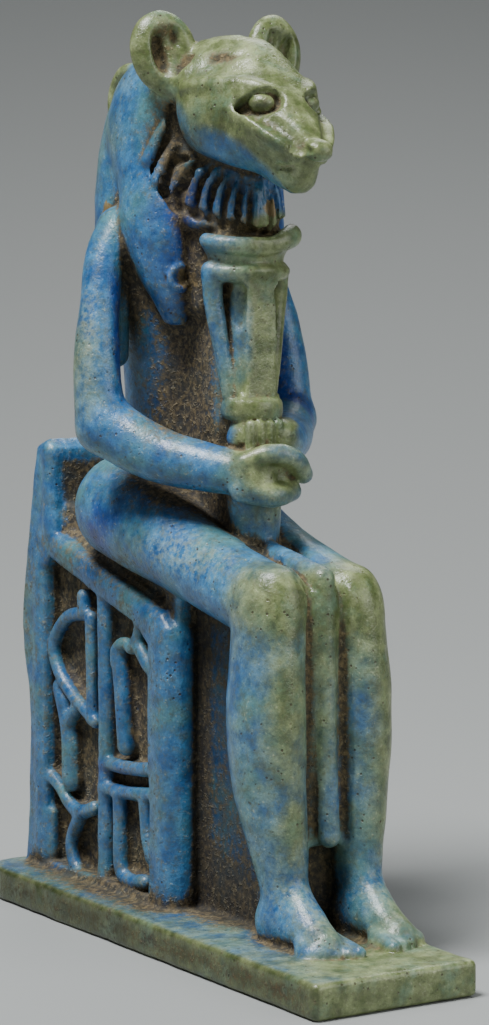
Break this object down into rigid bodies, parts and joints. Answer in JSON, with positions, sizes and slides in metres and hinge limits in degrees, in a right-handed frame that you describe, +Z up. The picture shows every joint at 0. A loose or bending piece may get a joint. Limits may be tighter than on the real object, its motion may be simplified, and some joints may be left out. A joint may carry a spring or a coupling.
{
  "type": "seated lioness-headed goddess amulet",
  "caption": "Glazed figurine of a lioness-headed goddess seated on a throne, holding an upright sceptre, on its own slab plinth, with a small suspension loop behind the head.",
  "frame": {"origin": "on the underside of the plinth, below the middle plane of the figure and its lap", "axes": "+Z up; the figure looks along -Y; +X is the figure's left side"},
  "size_m": [0.0194, 0.0457, 0.0649],
  "materials": {
    "faience": "semi-matt blue and green alkaline glaze over a sandy quartz body, brown burial dirt in the recesses"
  },
  "bodies": {
    "root": {"bastet_figurine": "faience"}
  },
  "joints": []
}
